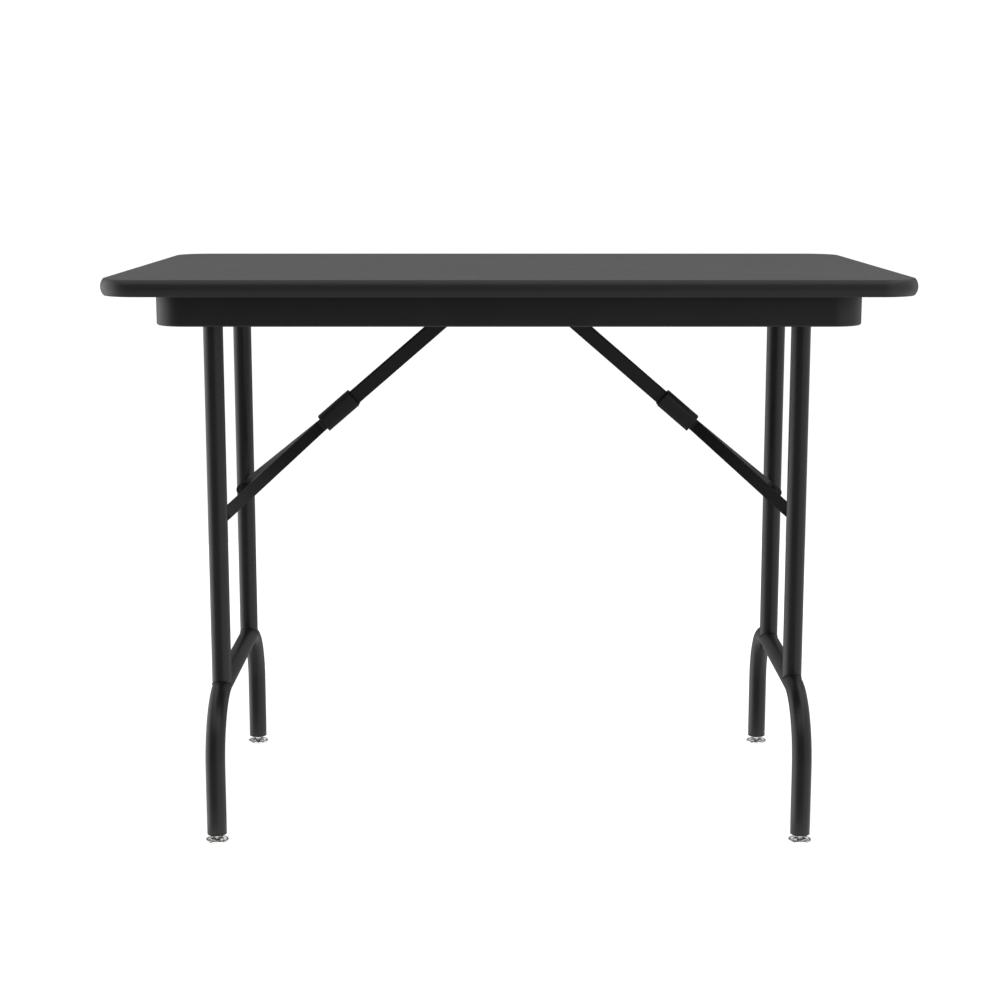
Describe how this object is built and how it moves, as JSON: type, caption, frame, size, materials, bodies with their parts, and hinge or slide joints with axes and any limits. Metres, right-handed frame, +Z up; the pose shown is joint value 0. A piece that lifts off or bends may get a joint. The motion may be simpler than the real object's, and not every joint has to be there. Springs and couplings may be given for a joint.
{
  "type": "folding table",
  "caption": "Rectangular folding table with a laminated top, vinyl edge, steel apron, wishbone legs of round tube and hinged braces with slide locks.",
  "frame": {"origin": "on the floor under the centre of the table top, with both legs open", "axes": "+X along the length of the top, +Y from the front edge to the rear edge, +Z up"},
  "size_m": [0.989, 0.643, 0.737],
  "materials": {
    "laminate": "dark grey high-pressure laminate, fine matte texture",
    "edge_vinyl": "black extruded vinyl T-moulding, satin",
    "particleboard": "raw particleboard",
    "backer": "brown resin backing sheet",
    "apron_paint": "black powder coat, satin",
    "frame_paint": "black powder coat, satin",
    "lock_steel": "black powder coat, rubbed at the edges",
    "rivet_steel": "black oxide steel",
    "zinc_screws": "zinc-plated steel",
    "nickel_glide": "bright nickel plate",
    "black_plastic": "moulded black polyethylene"
  },
  "bodies": {
    "top": {"core_board": "particleboard", "top_laminate": "laminate", "backer_sheet": "backer", "edge_moulding": "edge_vinyl", "apron_front": "apron_paint", "apron_rear": "apron_paint", "left_apron_splice": "apron_paint", "right_apron_splice": "apron_paint", "apron_screws": "zinc_screws", "pivot_strap_screws": "zinc_screws", "brace_bracket_screws": "zinc_screws", "left_pivot_strap_front": "frame_paint", "left_pivot_strap_rear": "frame_paint", "right_pivot_strap_front": "frame_paint", "right_pivot_strap_rear": "frame_paint", "left_brace_bracket": "frame_paint", "right_brace_bracket": "frame_paint", "left_brace_pin": "rivet_steel", "right_brace_pin": "rivet_steel"},
    "left_leg": {"left_pivot_tube": "frame_paint", "left_pivot_caps": "black_plastic", "left_upright_front": "frame_paint", "left_upright_rear": "frame_paint", "left_wishbone": "frame_paint", "left_foot_plugs": "black_plastic", "left_glide_front": "nickel_glide", "left_glide_rear": "nickel_glide", "left_brace_studs": "rivet_steel"},
    "left_upper_brace": {"left_upper_arm": "frame_paint", "left_hinge_rivet": "rivet_steel"},
    "left_lower_brace": {"left_lower_strap_front": "frame_paint", "left_lower_strap_rear": "frame_paint", "left_lower_web": "frame_paint", "left_ear_rivets": "rivet_steel"},
    "left_lock": {"left_lock_sleeve": "lock_steel"},
    "right_leg": {"right_pivot_tube": "frame_paint", "right_pivot_caps": "black_plastic", "right_upright_front": "frame_paint", "right_upright_rear": "frame_paint", "right_wishbone": "frame_paint", "right_foot_plugs": "black_plastic", "right_glide_front": "nickel_glide", "right_glide_rear": "nickel_glide", "right_brace_studs": "rivet_steel"},
    "right_upper_brace": {"right_upper_arm": "frame_paint", "right_hinge_rivet": "rivet_steel"},
    "right_lower_brace": {"right_lower_strap_front": "frame_paint", "right_lower_strap_rear": "frame_paint", "right_lower_web": "frame_paint", "right_ear_rivets": "rivet_steel"},
    "right_lock": {"right_lock_sleeve": "lock_steel"}
  },
  "joints": [
    {"name": "left_leg_fold", "type": "hinge", "parent": "top", "child": "left_leg", "pos_m": [-0.3792, 0, 0.7029], "axis": [0, -1, 0], "range_deg": [0, 77]},
    {"name": "left_upper_arm_fold", "type": "hinge", "parent": "top", "child": "left_upper_brace", "pos_m": [-0.045, 0, 0.7], "axis": [0, 1, 0], "range_deg": [0, 34.73]},
    {"name": "left_lower_arm_fold", "type": "hinge", "parent": "left_upper_brace", "child": "left_lower_brace", "pos_m": [-0.23054, 0, 0.54], "axis": [0, -1, 0], "range_deg": [0, 163.71]},
    {"name": "left_lock_slide", "type": "slide", "parent": "left_upper_brace", "child": "left_lock", "axis": [0.7573, 0, 0.6531], "range_m": [0, 0.072]},
    {"name": "right_leg_fold", "type": "hinge", "parent": "top", "child": "right_leg", "pos_m": [0.3792, 0, 0.7029], "axis": [0, 1, 0], "range_deg": [0, 77]},
    {"name": "right_upper_arm_fold", "type": "hinge", "parent": "top", "child": "right_upper_brace", "pos_m": [0.045, 0, 0.7], "axis": [0, -1, 0], "range_deg": [0, 34.73]},
    {"name": "right_lower_arm_fold", "type": "hinge", "parent": "right_upper_brace", "child": "right_lower_brace", "pos_m": [0.23054, 0, 0.54], "axis": [0, 1, 0], "range_deg": [0, 163.71]},
    {"name": "right_lock_slide", "type": "slide", "parent": "right_upper_brace", "child": "right_lock", "axis": [-0.7573, 0, 0.6531], "range_m": [0, 0.072]}
  ],
  "couplings": [
    {"joint": "left_upper_arm_fold", "follows": "left_leg_fold", "ratio": 0.44843},
    {"joint": "left_lower_arm_fold", "follows": "left_leg_fold", "ratio": 2.1196},
    {"joint": "right_upper_arm_fold", "follows": "right_leg_fold", "ratio": 0.44843},
    {"joint": "right_lower_arm_fold", "follows": "right_leg_fold", "ratio": 2.1196}
  ]
}
